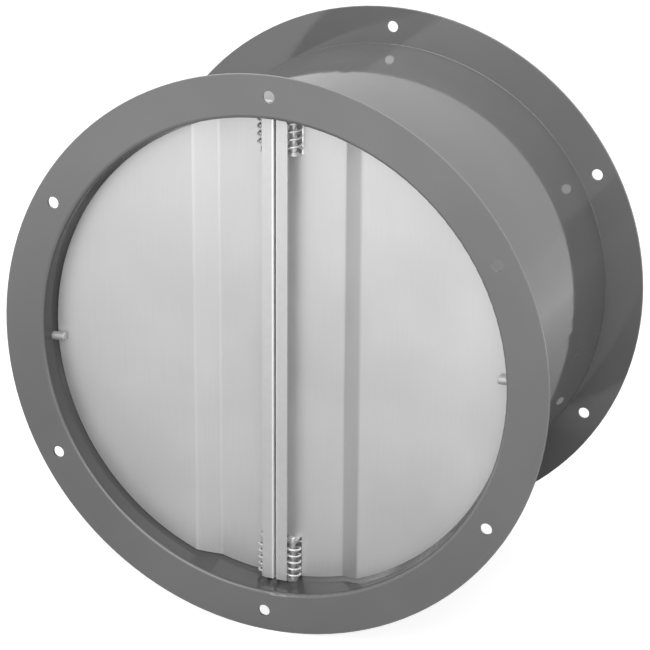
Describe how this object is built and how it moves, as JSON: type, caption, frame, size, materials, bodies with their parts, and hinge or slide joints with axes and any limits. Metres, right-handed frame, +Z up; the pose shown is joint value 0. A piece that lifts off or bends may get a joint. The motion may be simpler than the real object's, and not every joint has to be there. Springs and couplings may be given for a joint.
{
  "type": "duct non-return valve",
  "caption": "Flanged round duct section whose two spring-closed half-round blades swing open from a centre bar in one air direction and shut against the other.",
  "frame": {"origin": "centre of the upstream flange's outer face, on the duct's axis", "axes": "+Y runs downstream along the duct, +Z runs up along the two hinge axes, +X is to the right seen from upstream"},
  "size_m": [0.525, 0.302, 0.525],
  "materials": {
    "casing_paint": "satin grey paint",
    "blade_aluminium": "mill finish sheet",
    "bar_steel": "galvanised sheet, satin",
    "spring_steel": "bright zinc-plated wire",
    "bolt_steel": "zinc plate",
    "rivet_aluminium": "plain",
    "bush_steel": "sintered steel, oiled"
  },
  "bodies": {
    "casing": {"casing": "casing_paint", "right_bar_channel": "bar_steel", "left_bar_channel": "bar_steel", "upper_right_spring": "spring_steel", "lower_right_spring": "spring_steel", "upper_left_spring": "spring_steel", "lower_left_spring": "spring_steel", "upper_right_pivot_bolt": "bolt_steel", "lower_right_pivot_bolt": "bolt_steel", "upper_left_pivot_bolt": "bolt_steel", "lower_left_pivot_bolt": "bolt_steel", "pivot_washers": "bolt_steel", "pivot_lock_nuts": "bolt_steel", "pivot_clips": "bolt_steel", "right_stop_pin": "bolt_steel", "left_stop_pin": "bolt_steel", "bar_web_rivets": "rivet_aluminium", "bar_foot_rivets": "rivet_aluminium"},
    "right_blade": {"right_blade": "blade_aluminium", "right_blade_bushes": "bush_steel"},
    "left_blade": {"left_blade": "blade_aluminium", "left_blade_bushes": "bush_steel"}
  },
  "joints": [
    {"name": "right_blade_hinge", "type": "hinge", "parent": "casing", "child": "right_blade", "pos_m": [0.0128, 0.0309, 0], "axis": [0, 0, 1], "range_deg": [0, 85], "stiffness_Nm_per_rad": 0.15, "springref_deg": -85.94, "deforming": ["upper_right_spring", "lower_right_spring"]},
    {"name": "left_blade_hinge", "type": "hinge", "parent": "casing", "child": "left_blade", "pos_m": [-0.0128, 0.0309, 0], "axis": [0, 0, -1], "range_deg": [0, 85], "stiffness_Nm_per_rad": 0.15, "springref_deg": -85.94, "deforming": ["upper_left_spring", "lower_left_spring"]}
  ]
}
